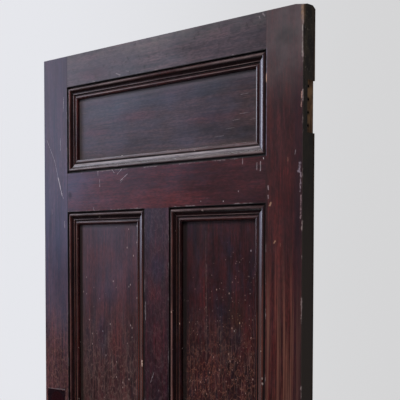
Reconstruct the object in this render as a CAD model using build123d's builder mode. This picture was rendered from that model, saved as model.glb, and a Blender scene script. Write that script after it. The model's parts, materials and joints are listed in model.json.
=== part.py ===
from build123d import *
import os

# An old framed and panelled front door: one wide panel over two tall panels over two lower panels.
# Sizes are in millimetres. X runs across the width, the front faces -Y, and Z is up.
# The origin is the middle of the bottom edge, halfway through the thickness.

os.makedirs("parts", exist_ok=True)

# The leaf
door_width = 900.0
door_height = 2057.0
door_thickness = 44.5

# The framing, from the top down
stile_width = 102.0
muntin_width = 88.0
top_rail_height = 85.0
frieze_opening_height = 235.0
frieze_rail_height = 107.0
upper_opening_height = 630.0
lock_rail_height = 200.0
bottom_rail_height = 230.0
arris_radius = 1.0

# The joints. One plough cuts the grooves, and the tenons are as thick as the grooves are wide.
panel_thickness = 14.5
groove_depth = 12.0
panel_margin = 2.0
tenon_length = 66.0
twin_tenon_height = 56.0
haunch_height = 28.0
muntin_tenon_length = 36.0
mortise_margin = 2.0

# The planted moulding: a quirk, a torus, a hollow, a fillet, a second quirk and an inner bead.
# Each depth is measured down from the face of the framing.
moulding_width = 35.0
quirk_width = 4.0
quirk_depth = 5.0
torus_radius = 4.4
hollow_start = 12.2
hollow_end = 21.0
hollow_depth = 5.6
fillet_width = 1.0
inner_quirk_start = 23.4
inner_quirk_end = 25.4
inner_quirk_depth = 8.4
inner_bead_rise = 1.4
nose_radius = 1.6

# The hinge gains, cut from the back, and their screw holes in one upright row
leaf_length = 114.3
gain_width = 28.0
gain_depth = 5.0
top_gain_drop = 162.0
bottom_gain_rise = 254.0
screw_radius = 2.5
screw_depth = 26.0
screw_pitch = 28.5
first_screw_drop = 12.8
screw_setback = 9.2

# The knocked top corner on the hinge side
front_knock_width = 21.0
front_knock_drop = 4.4
front_knock_reach = 14.0
back_knock_width = 16.0
back_knock_drop = 7.0
back_knock_reach = 10.0

# Levels and widths that follow from the sizes above
edge_x = door_width / 2
opening_x = edge_x - stile_width
muntin_x = muntin_width / 2
face_y = door_thickness / 2
recess = face_y - panel_thickness / 2
top_rail_bottom = door_height - top_rail_height
frieze_rail_top = top_rail_bottom - frieze_opening_height
frieze_rail_bottom = frieze_rail_top - frieze_rail_height
lock_rail_top = frieze_rail_bottom - upper_opening_height
lock_rail_bottom = lock_rail_top - lock_rail_height
mortise_depth = tenon_length + mortise_margin
panel_grip = groove_depth - panel_margin

# Each rail is given as its bottom, its top, and whether a panel is grooved into either edge
rails = {
    "top_rail": (top_rail_bottom, door_height, True, False),
    "frieze_rail": (frieze_rail_top - frieze_rail_height, frieze_rail_top, True, True),
    "lock_rail": (lock_rail_bottom, lock_rail_top, True, True),
    "bottom_rail": (0.0, bottom_rail_height, False, True),
}

# Each muntin runs from the rail below it to the rail above it
muntins = {
    "upper_muntin": (lock_rail_top, frieze_rail_bottom),
    "lower_muntin": (bottom_rail_height, lock_rail_bottom),
}

# Each opening is given as its left, right, bottom and top
openings = {
    "frieze": (-opening_x, opening_x, frieze_rail_top, top_rail_bottom),
    "upper_left": (-opening_x, -muntin_x, lock_rail_top, frieze_rail_bottom),
    "upper_right": (muntin_x, opening_x, lock_rail_top, frieze_rail_bottom),
    "lower_left": (-opening_x, -muntin_x, bottom_rail_height, lock_rail_bottom),
    "lower_right": (muntin_x, opening_x, bottom_rail_height, lock_rail_bottom),
}


def keep(solid, name):
    """Label a finished piece and write it to its own file."""
    solid.label = name
    export_step(solid, f"parts/{name}.step")


def tenon_spans(bottom, top, groove_below, groove_above):
    """Heights of the tenons on a rail: one on a narrow rail, two on a wide one.

    A plain outer edge keeps a haunch there, and a grooved edge loses the groove's depth.
    """
    low = bottom + (groove_depth if groove_below else haunch_height)
    high = top - (groove_depth if groove_above else haunch_height)
    if high - low < 2.5 * twin_tenon_height:
        return [(low, high)]
    return [(low, low + twin_tenon_height), (high - twin_tenon_height, high)]


def make_stile(side):
    """A full-height stile, ploughed along its inner edge and mortised for every rail."""
    with BuildPart() as stile:
        with BuildSketch(Plane.XY):
            with Locations((side * (edge_x - stile_width / 2), 0)):
                Rectangle(stile_width, door_thickness)
            outer_corners = vertices().sort_by(Axis.X)[-2:] if side > 0 else vertices().sort_by(Axis.X)[:2]
            fillet(outer_corners, arris_radius)
            with Locations((side * (opening_x + groove_depth / 2), 0)):
                Rectangle(groove_depth, panel_thickness, mode=Mode.SUBTRACT)
        extrude(amount=door_height)
        with BuildSketch(Plane.YZ.offset(side * opening_x)):
            for bottom, top, groove_below, groove_above in rails.values():
                for low, high in tenon_spans(bottom, top, groove_below, groove_above):
                    with Locations((0, (low + high) / 2)):
                        Rectangle(panel_thickness, high - low)
        extrude(amount=side * mortise_depth, mode=Mode.SUBTRACT)
    return stile.part


def make_rail(bottom, top, groove_below, groove_above):
    """A rail between the stiles, with a haunch that fills the stiles' grooves, and its tenons."""
    height = top - bottom
    with BuildPart() as rail:
        with BuildSketch(Plane.YZ):
            with Locations((0, bottom + height / 2)):
                Rectangle(door_thickness, height)
        extrude(amount=opening_x, both=True)
        with BuildSketch(Plane.YZ):
            with Locations((0, bottom + height / 2)):
                Rectangle(panel_thickness, height)
        extrude(amount=opening_x + groove_depth, both=True)
        with BuildSketch(Plane.YZ):
            for low, high in tenon_spans(bottom, top, groove_below, groove_above):
                with Locations((0, (low + high) / 2)):
                    Rectangle(panel_thickness, high - low)
        extrude(amount=opening_x + tenon_length, both=True)
        with BuildSketch(Plane.YZ):
            if groove_below:
                with Locations((0, bottom + groove_depth / 2)):
                    Rectangle(panel_thickness, groove_depth)
            if groove_above:
                with Locations((0, top - groove_depth / 2)):
                    Rectangle(panel_thickness, groove_depth)
        extrude(amount=opening_x + groove_depth, both=True, mode=Mode.SUBTRACT)
        for muntin_bottom, muntin_top in muntins.values():
            for edge, inward in ((muntin_bottom, -1), (muntin_top, 1)):
                if edge in (bottom, top):
                    with BuildSketch(Plane.XY.offset(edge)):
                        Rectangle(muntin_width - 2 * groove_depth, panel_thickness)
                    extrude(amount=inward * (muntin_tenon_length + mortise_margin), mode=Mode.SUBTRACT)
    return rail.part


def make_muntin(bottom, top):
    """An upright between two rails, ploughed on both edges, with a stub tenon at each end."""
    with BuildPart() as muntin:
        with BuildSketch(Plane.XY.offset(bottom)):
            Rectangle(muntin_width, door_thickness)
            with GridLocations(muntin_width - groove_depth, 0, 2, 1):
                Rectangle(groove_depth, panel_thickness, mode=Mode.SUBTRACT)
        extrude(amount=top - bottom)
        with BuildSketch(Plane.XY.offset(bottom - muntin_tenon_length)):
            Rectangle(muntin_width - 2 * groove_depth, panel_thickness)
        extrude(amount=top - bottom + 2 * muntin_tenon_length)
    return muntin.part


def make_panel(left, right, bottom, top):
    """A flat panel that floats in the grooves round its opening."""
    with BuildPart() as panel:
        with BuildSketch(Plane.XY.offset(bottom - panel_grip)):
            with Locations(((left + right) / 2, 0)):
                Rectangle(right - left + 2 * panel_grip, panel_thickness)
        extrude(amount=top - bottom + 2 * panel_grip)
    return panel.part


def make_moulding(middle, inward, outward, length):
    """One length of moulding along the edge of an opening, mitred at both ends.

    The middle is a point on the panel's face under the edge, inward points to the
    opening's centre and outward points away from the panel.
    """
    edge = Plane(origin=middle, x_dir=inward, z_dir=inward.cross(outward))
    torus_y = recess - torus_radius
    slope = hollow_start - quirk_width - torus_radius
    hollow_y = torus_y + (torus_radius**2 - slope**2) ** 0.5
    fillet_y = recess - hollow_depth
    quirk_floor_y = recess - inner_quirk_depth
    with BuildPart() as moulding:
        with BuildSketch(edge):
            with BuildLine():
                Polyline(
                    (quirk_width, torus_y),
                    (quirk_width, recess - quirk_depth),
                    (0, recess - quirk_depth),
                    (0, 0),
                    (moulding_width, 0),
                    (moulding_width, quirk_floor_y),
                )
                ThreePointArc(
                    (quirk_width, torus_y),
                    (quirk_width + torus_radius, recess),
                    (hollow_start, hollow_y),
                )
                ThreePointArc(
                    (hollow_start, hollow_y),
                    (
                        hollow_start + 0.29 * (hollow_end - hollow_start),
                        fillet_y + 0.29 * (hollow_y - fillet_y),
                    ),
                    (hollow_end, fillet_y),
                )
                Polyline(
                    (hollow_end, fillet_y),
                    (hollow_end + fillet_width, fillet_y),
                    (inner_quirk_start, quirk_floor_y),
                    (inner_quirk_end, quirk_floor_y),
                )
                ThreePointArc(
                    (inner_quirk_end, quirk_floor_y),
                    ((inner_quirk_end + moulding_width) / 2, quirk_floor_y + inner_bead_rise),
                    (moulding_width, quirk_floor_y),
                )
            make_face()
            nose = vertices().sort_by_distance((moulding_width, quirk_floor_y))[0]
            fillet(nose, nose_radius)
        extrude(amount=length / 2, both=True)
        for end in (-1, 1):
            along = edge.z_dir * end
            mitre = Plane(origin=middle + along * (length / 2), z_dir=along + inward)
            split(bisect_by=mitre, keep=Keep.BOTTOM)
    return moulding.part


# Stiles. The hinge stile is the right one, seen from the front.
with BuildPart() as hinge_stile:
    add(make_stile(1))
    gain_middles = (
        door_height - top_gain_drop - leaf_length / 2,
        bottom_gain_rise + leaf_length / 2,
    )
    with BuildSketch(Plane.YZ.offset(edge_x)):
        for gain_middle in gain_middles:
            with Locations((face_y - gain_width / 2, gain_middle)):
                Rectangle(gain_width, leaf_length)
    extrude(amount=-gain_depth, mode=Mode.SUBTRACT)
    with BuildSketch(Plane.YZ.offset(edge_x - gain_depth)):
        for gain_middle in gain_middles:
            first_screw = gain_middle + leaf_length / 2 - first_screw_drop
            for count in range(4):
                with Locations((face_y - gain_width + screw_setback, first_screw - count * screw_pitch)):
                    Circle(screw_radius)
    extrude(amount=-screw_depth, mode=Mode.SUBTRACT)
    for face, width, drop, reach in (
        (-1, front_knock_width, front_knock_drop, front_knock_reach),
        (1, back_knock_width, back_knock_drop, back_knock_reach),
    ):
        knock = Plane(
            origin=(edge_x, face * face_y, door_height - drop),
            z_dir=(1 / width, face / reach, 1 / drop),
        )
        split(bisect_by=knock, keep=Keep.BOTTOM)
keep(hinge_stile.part, "hinge_stile")

with BuildPart() as lock_stile:
    add(make_stile(-1))
keep(lock_stile.part, "lock_stile")

# Rails and muntins
for name, sizes in rails.items():
    keep(make_rail(*sizes), name)
for name, sizes in muntins.items():
    keep(make_muntin(*sizes), name)

# Panels
for name, sizes in openings.items():
    keep(make_panel(*sizes), f"{name}_panel")

# Mouldings, four lengths round each panel on each face
for face, outward in (("front", Vector(0, -1, 0)), ("back", Vector(0, 1, 0))):
    panel_y = outward.Y * panel_thickness / 2
    for name, (left, right, bottom, top) in openings.items():
        middle_x = (left + right) / 2
        middle_z = (bottom + top) / 2
        width = right - left
        height = top - bottom
        for member, x, z, inward, length in (
            ("top", middle_x, top, Vector(0, 0, -1), width),
            ("bottom", middle_x, bottom, Vector(0, 0, 1), width),
            ("left", left, middle_z, Vector(1, 0, 0), height),
            ("right", right, middle_z, Vector(-1, 0, 0), height),
        ):
            moulding = make_moulding(Vector(x, panel_y, z), inward, outward, length)
            keep(moulding, f"{face}_{name}_moulding_{member}")
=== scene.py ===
# %% [markdown]
# # A salvaged panelled front door
#
# The object is one loose door leaf: two stiles, four rails and two short muntins, five flat panels,
# and a mitred moulding planted round every panel on both faces. Its hinges are gone, and the varnish
# is a century old: nearly black, red where it is thin, hazed blue-grey high up towards the lock side,
# partly bloom from dust and damp and partly painted sheen, and crazed and flaked lower down. The
# pieces already have their true shape, so this lesson is about finishes. Every finish is worked out
# from the place of a point on the door, which keeps grain, scratches and dirt where they belong from
# whichever side the door is seen.

# %% Load the pieces
import json
import math
from types import SimpleNamespace

import bpy
import numpy as np
from mathutils import Matrix, Vector


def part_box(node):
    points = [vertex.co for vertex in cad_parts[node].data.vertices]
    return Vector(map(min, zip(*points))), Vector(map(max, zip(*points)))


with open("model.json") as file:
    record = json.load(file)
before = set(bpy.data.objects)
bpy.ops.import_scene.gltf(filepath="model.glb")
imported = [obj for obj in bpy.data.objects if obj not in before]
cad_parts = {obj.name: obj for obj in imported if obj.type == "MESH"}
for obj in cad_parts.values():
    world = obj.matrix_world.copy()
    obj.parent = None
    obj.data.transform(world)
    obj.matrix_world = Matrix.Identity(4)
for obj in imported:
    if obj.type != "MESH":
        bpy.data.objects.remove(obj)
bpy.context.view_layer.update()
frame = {"nodes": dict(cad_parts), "record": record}

# %% [markdown]
# ## Read the joinery off the pieces
#
# A finish that follows the joinery has to know where the joinery is: dirt gathers along the edge of
# an opening, and wear along an arris. The sizes could be typed in again, but then they would go
# stale when the door is resized. So they are read from the boxes of the pieces themselves. An
# opening is the hole between the framing pieces, and the four mouldings of a panel fill its rim.

# %% Openings, faces and joints
OPENINGS = ("frieze", "upper_left", "upper_right", "lower_left", "lower_right")


def opening_of(panel):
    """Left, right, bottom and top of the opening: the outer edges of that panel's four mouldings."""
    left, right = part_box(f"front_{panel}_moulding_left"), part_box(f"front_{panel}_moulding_right")
    return SimpleNamespace(left=left[0].x, right=right[1].x, bottom=left[0].z, top=left[1].z)


openings = {panel: opening_of(panel) for panel in OPENINGS}
lock_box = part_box("lock_stile")
FRONT_Y, BACK_Y = lock_box[0].y, lock_box[1].y
LOCK_X, HINGE_X = lock_box[0].x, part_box("hinge_stile")[1].x
DOOR_TOP = lock_box[1].z
PANEL_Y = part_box("frieze_panel")[0].y
SHOULDER_X = openings["frieze"].right
moulding_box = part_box("front_frieze_moulding_left")
MOULDING_WIDTH = moulding_box[1].x - moulding_box[0].x
print("door", round(HINGE_X - LOCK_X, 4), "wide", round(DOOR_TOP, 4), "high")
print("moulding", round(MOULDING_WIDTH, 4), "wide")

# %% [markdown]
# ## The camera
#
# The photograph looks at the door from its hinge side, at standing height, with the picture shifted
# so that the uprights stay nearly upright. The eye point, the turn and the focal length below are
# real measures of that view. A camera looks along its own -Z, so its matrix is built from three
# directions: right, up, and backwards.

# %% Camera at the photograph's angle
EYE = Vector((1.61338, -1.62387, 1.51635))
YAW, PITCH, ROLL = math.radians(42.4386), math.radians(-2.6385), math.radians(0.0837)
FOCAL_PIXELS, PICTURE, SENSOR = 901.757, 400, 36.0
CENTRE_ROW = 295.08

ahead = Vector((-math.sin(YAW) * math.cos(PITCH), math.cos(YAW) * math.cos(PITCH), math.sin(PITCH)))
level_right = Vector((math.cos(YAW), math.sin(YAW), 0.0))
level_up = level_right.cross(ahead)
right = math.cos(ROLL) * level_right + math.sin(ROLL) * level_up
up = -math.sin(ROLL) * level_right + math.cos(ROLL) * level_up

lens = bpy.data.cameras.new("camera")
lens.sensor_width = SENSOR
lens.lens = SENSOR * FOCAL_PIXELS / PICTURE
lens.shift_y = (CENTRE_ROW - PICTURE / 2) / PICTURE
lens.clip_start, lens.clip_end = 0.05, 60.0
camera = bpy.data.objects.new("camera", lens)
turn = Matrix((right, up, -ahead)).transposed().to_4x4()
camera.matrix_world = Matrix.Translation(EYE) @ turn
bpy.context.scene.collection.objects.link(camera)
bpy.context.scene.camera = camera
print("lens", round(lens.lens, 2), "mm, shift", round(lens.shift_y, 4))

# %% [markdown]
# ## Colours as they are seen
#
# A colour in this lesson is written as three numbers from 0 to 255, the way a picture shows it.
# Blender's nodes want the linear amount of light instead, so each colour passes through the standard
# curve once, here.

# %% Colour helper
def tint(red, green, blue):
    """The linear colour of a screen colour: c/12.92 in the darks, and ((c + 0.055)/1.055)^2.4 above."""
    shown = np.array([red, green, blue], float) / 255.0
    linear = np.where(shown <= 0.04045, shown / 12.92, ((shown + 0.055) / 1.055) ** 2.4)
    return (*(float(c) for c in linear), 1.0)


print("varnish in the shade is", [round(c, 4) for c in tint(54, 33, 32)[:3]])

# %% [markdown]
# ## Small tools for node trees
#
# A shader is a tree of nodes, and written out in full each node takes four or five lines. One tree
# at a time lies on the bench, and these helpers place one node each in it and return its output, so
# a formula reads from left to right like arithmetic. Anything passed in may be a plain number or the
# output of another node.

# %% Node helpers
bench = SimpleNamespace(tree=None)
ORIGIN = (0.0, 0.0, 0.0)


def start_tree(tree):
    """That tree, emptied, goes on the bench."""
    tree.nodes.clear()
    bench.tree = tree


def place(kind, **settings):
    """One node of that kind with its settings, laid out to the right of the ones before it."""
    made = bench.tree.nodes.new("ShaderNode" + kind)
    row, column = divmod(len(bench.tree.nodes), 24)
    made.location = (200 * column, -260 * row)
    for name, value in settings.items():
        setattr(made, name, value)
    return made


def feed(socket, value):
    """Another node's output is linked into the socket, and a plain value is written there."""
    if isinstance(value, bpy.types.NodeSocket):
        bench.tree.links.new(value, socket)
    else:
        socket.default_value = value


def feed_all(made, **values):
    """Each named input of the node fed; an underscore stands for a space in a name."""
    for name, value in values.items():
        feed(made.inputs[name.replace("_", " ")], value)


def placed(kind, values, output=0, **settings):
    """One node with its first inputs fed in order; what it puts out."""
    made = place(kind, **settings)
    for socket, value in zip(made.inputs, values):
        feed(socket, value)
    return made.outputs[output]


def calc(operation, *values, clamp=False):
    """The result of one Math node."""
    return placed("Math", values, operation=operation, use_clamp=clamp)


def product(*values):
    """All the values multiplied together."""
    result = values[0]
    for value in values[1:]:
        result = calc("MULTIPLY", result, value)
    return result


def less(value, other):
    """The value less the other."""
    return calc("SUBTRACT", value, other)


def apart(value, other):
    """How far the two values lie apart."""
    return calc("ABSOLUTE", less(value, other))


def vector_calc(operation, *values, output="Vector"):
    """The result of one Vector Math node."""
    return placed("VectorMath", values, output, operation=operation)


def parts_of(vector):
    """The x, y and z of a vector."""
    made = place("SeparateXYZ")
    feed(made.inputs[0], vector)
    return made.outputs


def vector_of(x, y, z):
    """A vector from its three numbers."""
    return placed("CombineXYZ", (x, y, z))


def length_of(sideways, upwards):
    """The straight distance that two distances at right angles make."""
    return vector_calc("LENGTH", vector_of(sideways, upwards, 0.0), output="Value")


def soft_step(value, low, high):
    """0 below low, 1 above high, and an even S between: 3t^2 - 2t^3. With low above high it falls."""
    return placed("MapRange", (value, low, high, 0.0, 1.0), interpolation_type="SMOOTHSTEP")


def spread(value, low, high, out_low, out_high):
    """The value carried from the range low..high to out_low..out_high, and held at its ends."""
    return placed("MapRange", (value, low, high, out_low, out_high), clamp=True)


def within(value, low, high, soft):
    """1 where the value lies between low and high."""
    return product(soft_step(value, low - soft, low + soft), soft_step(value, high + soft, high - soft))


def ramp(value, stops):
    """A number read off the line drawn through the stops, each a value and the number it gives there."""
    low, high = stops[0][0], stops[-1][0]
    made = place("ValToRGB")
    feed(made.inputs[0], spread(value, low, high, 0.0, 1.0))
    marks = made.color_ramp.elements
    marks[0].color, marks[1].color = ((*(stop[1],) * 3, 1.0) for stop in (stops[0], stops[-1]))
    for at, level in stops[1:-1]:
        marks.new((at - low) / (high - low)).color = (level, level, level, 1.0)
    return made.outputs[0]


def stretched(vector, share):
    """The vector squeezed along the board to that share, which draws a pattern out along it."""
    made = place("Mapping")
    feed_all(made, Vector=vector, Scale=(1.0, 1.0, share))
    return made.outputs[0]


def noise(vector, scale, detail=3.0, roughness=0.5, along=1.0):
    """Cloudy noise from 0 to 1, about `scale` lumps to the metre, and `along` times that down the board."""
    drawn_out = vector if along == 1.0 else stretched(vector, along)
    made = place("TexNoise")
    feed_all(made, Vector=drawn_out, Scale=scale, Detail=detail, Roughness=roughness)
    return made.outputs[0]


def mixed(share, under, over, how="MIX"):
    """The colour `over` laid on the colour `under`, by the share from 0 to 1."""
    made = place("Mix", data_type="RGBA", blend_type=how)
    for socket, value in ((0, share), (6, under), (7, over)):
        feed(made.inputs[socket], value)
    return made.outputs[2]


def new_group(name, results, **inputs):
    """An empty shader node group on the bench; an underscore stands for a space in an input's name. One
    number makes a Float socket, three make a Vector and four a Color."""
    tree = bpy.data.node_groups.new(name, "ShaderNodeTree")
    for label, value in inputs.items():
        kind = "Float" if isinstance(value, float) else {3: "Vector", 4: "Color"}[len(value)]
        label = label.replace("_", " ")
        socket = tree.interface.new_socket(label, in_out="INPUT", socket_type="NodeSocket" + kind)
        socket.default_value = value
    for label in results:
        kind = "NodeSocketColor" if label == "Color" else "NodeSocketFloat"
        tree.interface.new_socket(label, in_out="OUTPUT", socket_type=kind)
    start_tree(tree)
    return tree.nodes.new("NodeGroupInput").outputs, tree.nodes.new("NodeGroupOutput").inputs


def use(group, **values):
    """The group placed in the tree, with its named inputs fed."""
    made = place("Group", node_tree=bpy.data.node_groups[group])
    feed_all(made, **values)
    return made.outputs


def nodes_made():
    """How many nodes the tree on the bench has."""
    return f"{bench.tree.name}: {len(bench.tree.nodes)} nodes"


print("node helpers ready")

# %% [markdown]
# ## Effect: the grain under the varnish
#
# The framing looks like stained pine or mahogany, with a fine straight grain. Grain is noise that has
# been drawn out: sampled slowly along the board and quickly across it. Five sizes of it are kept
# apart, because they do different work: hair-fine fibre, streaks, broad bands where the stain took
# differently, clouds a hand wide, and a short speckle for the pores.

# %% Group: wood_grain
GRAIN_SIZES = {  # lumps to the metre, detail, roughness, and how drawn out
    "Fibre": (620.0, 2.0, 0.55, 0.02), "Streaks": (150.0, 2.5, 0.6, 0.045),
    "Bands": (32.0, 3.5, 0.58, 0.1), "Clouds": (11.0, 4.0, 0.6, 0.34), "Speckle": (300.0, 1.0, 0.5, 0.3),
}
given, result = new_group("wood_grain", GRAIN_SIZES, Vector=ORIGIN)
for label, measures in GRAIN_SIZES.items():
    feed(result[label], noise(given["Vector"], *measures))
print("group", nodes_made())

# %% [markdown]
# ## Effect: crazed and flaked varnish
#
# Old spirit varnish shrinks and tears into islands, longer along the grain than across it, and where
# a tear has opened the lighter wood shows. Voronoi cells give the islands: the distance to a cell's
# edge is small along the tears. The cells are bent by noise first, because straight edges look like
# glass. A coarse net lies over a fine one, and a slow noise breaks both up. Where a chip has jumped
# out altogether there is a speck, near the middle of a few cells of a third, smaller pattern.

# %% Group: crazed_varnish
ISLAND_SIZE, COARSE_TEAR, FINE_TEAR = 0.0092, 0.0009, 0.0007
BEND_REACH, ISLANDS_ALONG = (0.0055, 0.0055, 0.013), 0.38
CHIPS_PER_METRE, CHIPS_ALONG, SMALLEST_CHIP, CHIP_RANGE = 165.0, 0.55, 0.06, 0.32
given, result = new_group("crazed_varnish", ("Tears", "Flakes", "Islands"),
                          Vector=ORIGIN, Island_Size=ISLAND_SIZE, Flaking=0.2)
wobble = place("TexNoise")
feed_all(wobble, Vector=given["Vector"], Scale=75.0, Detail=3.0)
sideways = vector_calc("MULTIPLY", wobble.outputs["Color"], BEND_REACH)
bent = stretched(vector_calc("ADD", given["Vector"], sideways), ISLANDS_ALONG)


def cells(vector, scale, feature):
    """A Voronoi node's outputs, with about `scale` cells to the metre."""
    made = place("TexVoronoi", feature=feature)
    feed_all(made, Vector=vector, Scale=scale)
    return made.outputs


def net(size, line_width):
    """The edges of bent Voronoi cells of that size, as lines of that width in metres."""
    edges = cells(bent, calc("DIVIDE", 1.0, size), "DISTANCE_TO_EDGE")
    return soft_step(product(edges["Distance"], size), line_width * 0.75, line_width * 0.3)


coarse = net(given["Island Size"], COARSE_TEAR)
fine_net = net(product(given["Island Size"], 0.5), FINE_TEAR)
broken = soft_step(noise(given["Vector"], 70.0, 4.0, 0.7), 0.38, 0.58)
finely_broken = soft_step(noise(given["Vector"], 90.0, 3.0, 0.65), 0.46, 0.64)
feed(result["Tears"], calc("MAXIMUM", product(coarse, broken), product(fine_net, finely_broken)))
islands = cells(bent, calc("DIVIDE", 1.0, given["Island Size"]), "F1")
feed(result["Islands"], parts_of(islands["Color"])[0])

chips = cells(stretched(given["Vector"], CHIPS_ALONG), CHIPS_PER_METRE, "F1")
chance, chip_size = parts_of(chips["Color"])[:2]
crowd = noise(given["Vector"], 14.0, 3.0, 0.6)
chosen = calc("MULTIPLY_ADD", less(crowd, 0.5), 1.1, given["Flaking"])
chosen = product(chosen, calc("GREATER_THAN", given["Flaking"], 0.001))
chosen = soft_step(less(product(chosen, 0.5), chance), -0.01, 0.01)
size = calc("MULTIPLY_ADD", product(chip_size, chip_size), CHIP_RANGE, SMALLEST_CHIP)
speck = soft_step(less(chips["Distance"], size), 0.05, -0.03)
feed(result["Flakes"], product(speck, chosen))
print("group", nodes_made())

# %% [markdown]
# ## Effect: bloom and painted sheen
#
# Damp turns old varnish milky, blue-grey over the dark wood, and dust on the upper parts adds to it.
# The same blue-grey also stands in for the window light's sheen on the varnish, so it is partly bloom
# and partly painted sheen. It is strongest high up and towards the lock side and is gone by the middle
# of the door. The group gives that fall as a soft step over height and width, rubbed thin in streaks
# along the grain.

# %% Group: varnish_bloom
given, result = new_group("varnish_bloom", ("Bloom",),
                          Place=ORIGIN, Vector=ORIGIN, Low=1.2, High=2.0, Drift=0.5)
x, y, z = parts_of(given["Place"])
level = calc("MULTIPLY_ADD", x, product(given["Drift"], -1.0), z)
drifts = noise(given["Place"], 5.0, 3.0, 0.5)
level = calc("MULTIPLY_ADD", less(drifts, 0.5), 0.5, level)
# bloom and painted sheen: strongest high up and towards the lock side
height = soft_step(level, given["Low"], given["High"])
thin = spread(noise(given["Vector"], 24.0, 4.0, 0.6, 0.18), 0.3, 0.7, 0.55, 1.25)
feed(result["Bloom"], calc("MULTIPLY", height, thin, clamp=True))
print("group", nodes_made())

# %% [markdown]
# ## Effect: the whole aged finish
#
# Grain, cracks and bloom with its painted sheen are put together once, so that every board gets the
# same recipe in its own measure. Dark varnish turns red where bands and streaks leave it thin, and
# clouds, fibre, pores and the islands between the cracks shade it. Bloom and painted sheen lie over
# that, and the tears and flakes break through to the bare wood beneath. The height that it gives is
# in metres for a Bump node.

# %% Group: aged_finish
FLAKE_EDGE = tint(196, 186, 186)
ISLAND_CONTRAST = 1.9
FIBRE_RISE, STREAK_RISE, CLOUD_RISE, TEAR_DEPTH, FLAKE_DEPTH = 0.00008, 0.00026, 0.0015, 0.00022, 0.00025
SHADES = (("Clouds", 0.32, 0.68, 0.66, 1.34), ("Streaks", 0.34, 0.66, 0.84, 1.18),
          ("Fibre", 0.34, 0.66, 0.78, 1.24), ("Speckle", 0.32, 0.68, 0.68, 1.34))
given, result = new_group(
    "aged_finish", ("Color", "Roughness", "Height"), Vector=ORIGIN, Dark=tint(33, 15, 22),
    Red=tint(70, 26, 28), Bare=tint(150, 118, 108), Haze=tint(104, 116, 158), Bloom=0.0, Crazing=0.3,
    Flaking=0.2, Dullness=0.36)
grain = use("wood_grain", Vector=given["Vector"])
crazed = use("crazed_varnish", Vector=given["Vector"], Flaking=given["Flaking"])
bands = spread(grain["Bands"], 0.32, 0.68, 0.02, 0.86)
streaks = calc("ADD", spread(grain["Streaks"], 0.36, 0.64, -0.2, 0.28),
               spread(grain["Fibre"], 0.34, 0.66, -0.12, 0.12))
colour = mixed(calc("ADD", bands, streaks, clamp=True), given["Dark"], given["Red"])
island_tone = calc("MULTIPLY_ADD", less(crazed["Islands"], 0.5), product(given["Crazing"], ISLAND_CONTRAST),
                   1.0)
shade = product(*(spread(grain[label], *ends) for label, *ends in SHADES), island_tone)
colour = mixed(1.0, colour, vector_of(shade, shade, shade), "MULTIPLY")
# the blue-grey of bloom and painted sheen laid over the varnish
colour = mixed(given["Bloom"], colour, given["Haze"])
tears = product(crazed["Tears"], given["Crazing"])
colour = mixed(tears, colour, given["Bare"])
flakes = product(crazed["Flakes"], calc("GREATER_THAN", given["Flaking"], 0.001))
feed(result["Color"], mixed(product(flakes, 0.85), colour, mixed(0.3, given["Bare"], FLAKE_EDGE)))
uneven = spread(grain["Clouds"], 0.3, 0.7, -0.03, 0.08)
dull = calc("ADD", given["Dullness"], calc("MULTIPLY_ADD", given["Bloom"], 0.1, uneven))
feed(result["Roughness"], calc("MULTIPLY_ADD", flakes, 0.25, dull))
relief = product(grain["Streaks"], STREAK_RISE)
for mask, rise in ((grain["Fibre"], FIBRE_RISE), (tears, -TEAR_DEPTH), (flakes, -FLAKE_DEPTH),
                   (grain["Clouds"], CLOUD_RISE)):
    relief = calc("MULTIPLY_ADD", mask, rise, relief)
feed(result["Height"], relief)
print("group", nodes_made())

# %% [markdown]
# ## Effects: scratches and worn arrises
#
# A scratch is a short straight line on the surface: the distance from a point to that line, kept
# between its two ends, and thinned by noise so that it swells and skips. Wear on an arris is the
# same idea with the distance to a long edge, broken into lengths by a slow noise. Both need only
# numbers, so one group each serves the whole door.

# %% Group: scratch
given, result = new_group("scratch", ("Mask",), Place=ORIGIN, Start=ORIGIN, End=(0.0, 0.0, 1.0),
                          Width=0.002, Skip=0.5)
line = vector_calc("SUBTRACT", given["End"], given["Start"])
reach = vector_calc("SUBTRACT", given["Place"], given["Start"])
along = vector_calc("DOT_PRODUCT", reach, line, output="Value")
length = vector_calc("DOT_PRODUCT", line, line, output="Value")
nearest = place("VectorMath", operation="SCALE")
feed_all(nearest, Vector=line, Scale=calc("DIVIDE", along, length, clamp=True))
gap = vector_calc("DISTANCE", reach, nearest.outputs[0], output="Value")
rough_edge = spread(noise(given["Place"], 420.0, 3.0, 0.6), 0.3, 0.7, 0.35, 1.0)
swelling = spread(noise(given["Place"], 75.0, 3.0, 0.6), 0.36, 0.64, 0.45, 1.15)
half = product(given["Width"], 0.5, rough_edge, swelling)
body = soft_step(calc("DIVIDE", gap, half), 1.25, 0.55)
skips = spread(noise(given["Place"], 130.0, 2.0, 0.5), 0.38, 0.55, 0.0, 1.0)
kept = calc("MULTIPLY_ADD", less(skips, 1.0), given["Skip"], 1.0)
feed(result["Mask"], calc("MULTIPLY", body, kept, clamp=True))
print("group", nodes_made())

# %% Group: worn_arris
given, result = new_group("worn_arris", ("Mask",), Place=ORIGIN, Distance=0.0, Reach=0.002, Amount=0.5)
lengths = noise(given["Place"], 16.0, 4.0, 0.65)
nicks = noise(given["Place"], 150.0, 3.0, 0.6)
ragged = product(given["Reach"], spread(nicks, 0.35, 0.65, 0.25, 1.3))
near = soft_step(calc("DIVIDE", given["Distance"], ragged), 1.15, 0.6)
least = calc("MULTIPLY_ADD", given["Amount"], -0.3, 0.66)
feed(result["Mask"], product(near, soft_step(less(lengths, least), 0.0, 0.08)))
print("group", nodes_made())

# %% [markdown]
# ## Effect: how far in from the edge of an opening
#
# The mouldings and the panels share one measure: the distance in from the nearest edge of their
# opening. It is the smallest of the four distances to left, right, bottom and top. Where two of them
# are equal a point lies on the mitre, so their difference marks the mitre line.

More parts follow.
